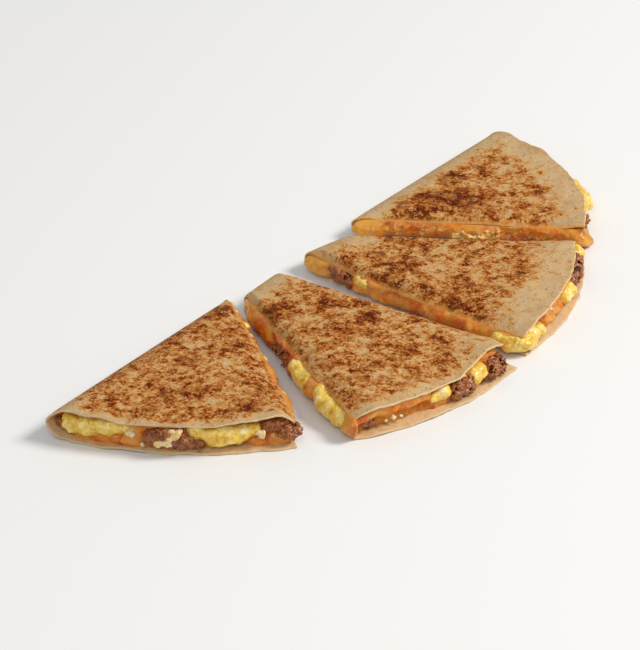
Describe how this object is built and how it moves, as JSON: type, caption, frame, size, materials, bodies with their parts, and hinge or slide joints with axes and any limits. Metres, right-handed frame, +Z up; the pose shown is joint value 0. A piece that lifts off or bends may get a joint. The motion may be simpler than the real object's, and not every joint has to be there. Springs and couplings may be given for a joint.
{
  "type": "quesadilla",
  "caption": "Toasted flour tortilla folded over scrambled egg, melted cheese and sausage crumbles, cut into wedges that lie slightly fanned apart.",
  "frame": {"origin": "middle of the footprint of the four wedges, on the surface that they lie on", "axes": "+X along the fold, +Y towards the fold, so that the cut round edge looks to -Y, +Z up"},
  "size_m": [0.3091, 0.1264, 0.0136],
  "materials": {
    "tortilla": "dry griddled flour tortilla, cream with brown toasted spots",
    "cheese": "melted orange cheese, smooth and oily",
    "egg": "moist scrambled egg curds",
    "sausage": "browned sausage crumbles, rough with a fatty sheen"
  },
  "bodies": {
    "root": {"slice_1_tortilla": "tortilla", "slice_1_sausage_1": "sausage", "slice_1_sausage_2": "sausage", "slice_1_sausage_3": "sausage", "slice_1_sausage_4": "sausage", "slice_1_sausage_5": "sausage", "slice_1_egg": "egg", "slice_1_cheese": "cheese", "slice_2_tortilla": "tortilla", "slice_2_sausage_1": "sausage", "slice_2_sausage_2": "sausage", "slice_2_sausage_3": "sausage", "slice_2_sausage_4": "sausage", "slice_2_sausage_5": "sausage", "slice_2_egg": "egg", "slice_2_cheese": "cheese", "slice_3_tortilla": "tortilla", "slice_3_sausage_1": "sausage", "slice_3_sausage_2": "sausage", "slice_3_sausage_3": "sausage", "slice_3_sausage_4": "sausage", "slice_3_egg": "egg", "slice_3_cheese": "cheese", "slice_4_tortilla": "tortilla", "slice_4_sausage_1": "sausage", "slice_4_sausage_2": "sausage", "slice_4_sausage_3": "sausage", "slice_4_egg": "egg", "slice_4_cheese": "cheese"}
  },
  "joints": []
}
